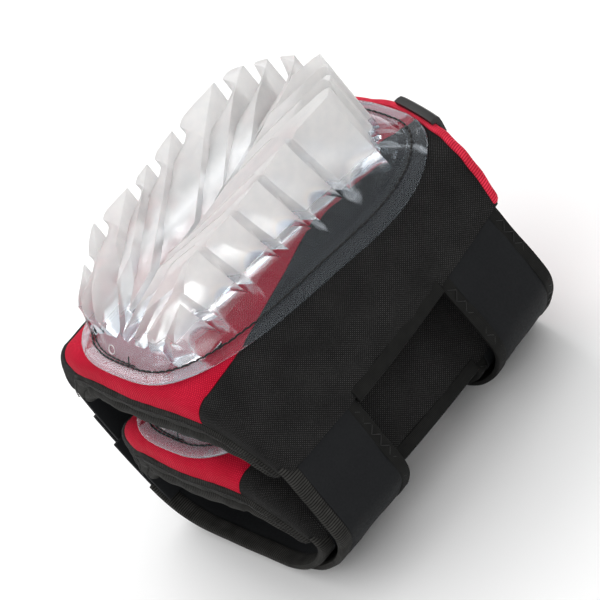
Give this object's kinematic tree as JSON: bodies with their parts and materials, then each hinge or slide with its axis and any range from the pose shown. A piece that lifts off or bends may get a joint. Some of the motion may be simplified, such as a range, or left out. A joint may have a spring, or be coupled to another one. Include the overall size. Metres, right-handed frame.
{
  "type": "gel knee pads",
  "caption": "Strap-on gel knee pads, nested: ridged clear caps on padded woven shells, with wide elastic straps that wrap under the leg and fasten with tape.",
  "frame": {"origin": "centre of the pair's outline in X and Y, on the plane it rests on", "axes": "+Z out of the knee, from the straps to the caps; +Y along the leg from the shin end to the thigh end; +X across the leg towards the side where the straps are sewn"},
  "size_m": [0.221, 0.2486, 0.2175],
  "materials": {
    "clear_tpu": "milky clear soft TPU, glossy",
    "red_fabric": "ribbed woven polyester",
    "black_fabric": "coarse ballistic weave",
    "neoprene": "smooth jersey-faced neoprene",
    "binding": "ribbed grosgrain",
    "foam": "closed-cell EVA foam",
    "gel": "soft tinted gel",
    "lining": "thin breathable jersey",
    "hook_tape": "hook tape",
    "loop_tape": "brushed loop tape",
    "thread": "bonded polyester thread",
    "label": "moulded soft rubber"
  },
  "bodies": {
    "upper_pad": {"upper_cap": "clear_tpu", "upper_cap_stitching": "thread", "upper_centre_panel": "red_fabric", "upper_near_side_panel": "black_fabric", "upper_far_side_panel": "black_fabric", "upper_foam_core": "foam", "upper_gel_insert": "gel", "upper_lining": "lining", "upper_shin_binding": "binding", "upper_thigh_band": "red_fabric", "upper_near_side_hem": "binding", "upper_far_side_hem": "binding", "upper_label_patch": "label", "upper_bottom_strap_keeper": "neoprene", "upper_bottom_strap_loop_tape": "loop_tape", "upper_top_strap_keeper": "neoprene", "upper_top_strap_loop_tape": "loop_tape"},
    "upper_bottom_strap_loop": {"upper_bottom_strap": "neoprene", "upper_bottom_strap_lower_hem": "binding", "upper_bottom_strap_upper_hem": "binding"},
    "upper_top_strap_loop": {"upper_top_strap": "neoprene", "upper_top_strap_lower_hem": "binding", "upper_top_strap_upper_hem": "binding"},
    "upper_bottom_tab": {"upper_bottom_strap_pull_tab": "neoprene", "upper_bottom_strap_hook_tape": "hook_tape"},
    "upper_top_tab": {"upper_top_strap_pull_tab": "neoprene", "upper_top_strap_hook_tape": "hook_tape"},
    "lower_pad": {"lower_cap": "clear_tpu", "lower_cap_stitching": "thread", "lower_centre_panel": "red_fabric", "lower_near_side_panel": "black_fabric", "lower_far_side_panel": "black_fabric", "lower_foam_core": "foam", "lower_gel_insert": "gel", "lower_lining": "lining", "lower_shin_binding": "binding", "lower_thigh_band": "red_fabric", "lower_near_side_hem": "binding", "lower_far_side_hem": "binding", "lower_label_patch": "label", "lower_bottom_strap": "neoprene", "lower_bottom_strap_lower_hem": "binding", "lower_bottom_strap_upper_hem": "binding", "lower_bottom_strap_pull_tab": "neoprene", "lower_bottom_strap_hook_tape": "hook_tape", "lower_bottom_strap_loop_tape": "loop_tape", "lower_bottom_strap_keeper": "neoprene", "lower_top_strap": "neoprene", "lower_top_strap_lower_hem": "binding", "lower_top_strap_upper_hem": "binding", "lower_top_strap_pull_tab": "neoprene", "lower_top_strap_hook_tape": "hook_tape", "lower_top_strap_loop_tape": "loop_tape", "lower_top_strap_keeper": "neoprene"}
  },
  "joints": [
    {"name": "bottom_strap_swing", "type": "hinge", "parent": "upper_pad", "child": "upper_bottom_strap_loop", "pos_m": [0.11077, -0.0771, 0.10958], "axis": [0, -1, 0], "range_deg": [0, 95]},
    {"name": "top_strap_swing", "type": "hinge", "parent": "upper_pad", "child": "upper_top_strap_loop", "pos_m": [0.09502, 0.0699, 0.10984], "axis": [0, -1, 0], "range_deg": [0, 95]},
    {"name": "bottom_tab_peel", "type": "hinge", "parent": "upper_bottom_strap_loop", "child": "upper_bottom_tab", "pos_m": [-0.10371, -0.0771, 0.0484], "axis": [0, -1, 0], "range_deg": [0, 70]},
    {"name": "top_tab_peel", "type": "hinge", "parent": "upper_top_strap_loop", "child": "upper_top_tab", "pos_m": [-0.09107, 0.0699, 0.0484], "axis": [0, -1, 0], "range_deg": [0, 70]},
    {"name": "lower_pad_slide", "type": "slide", "parent": "upper_pad", "child": "lower_pad", "axis": [0, 1, 0], "range_m": [0, 0.005]}
  ]
}
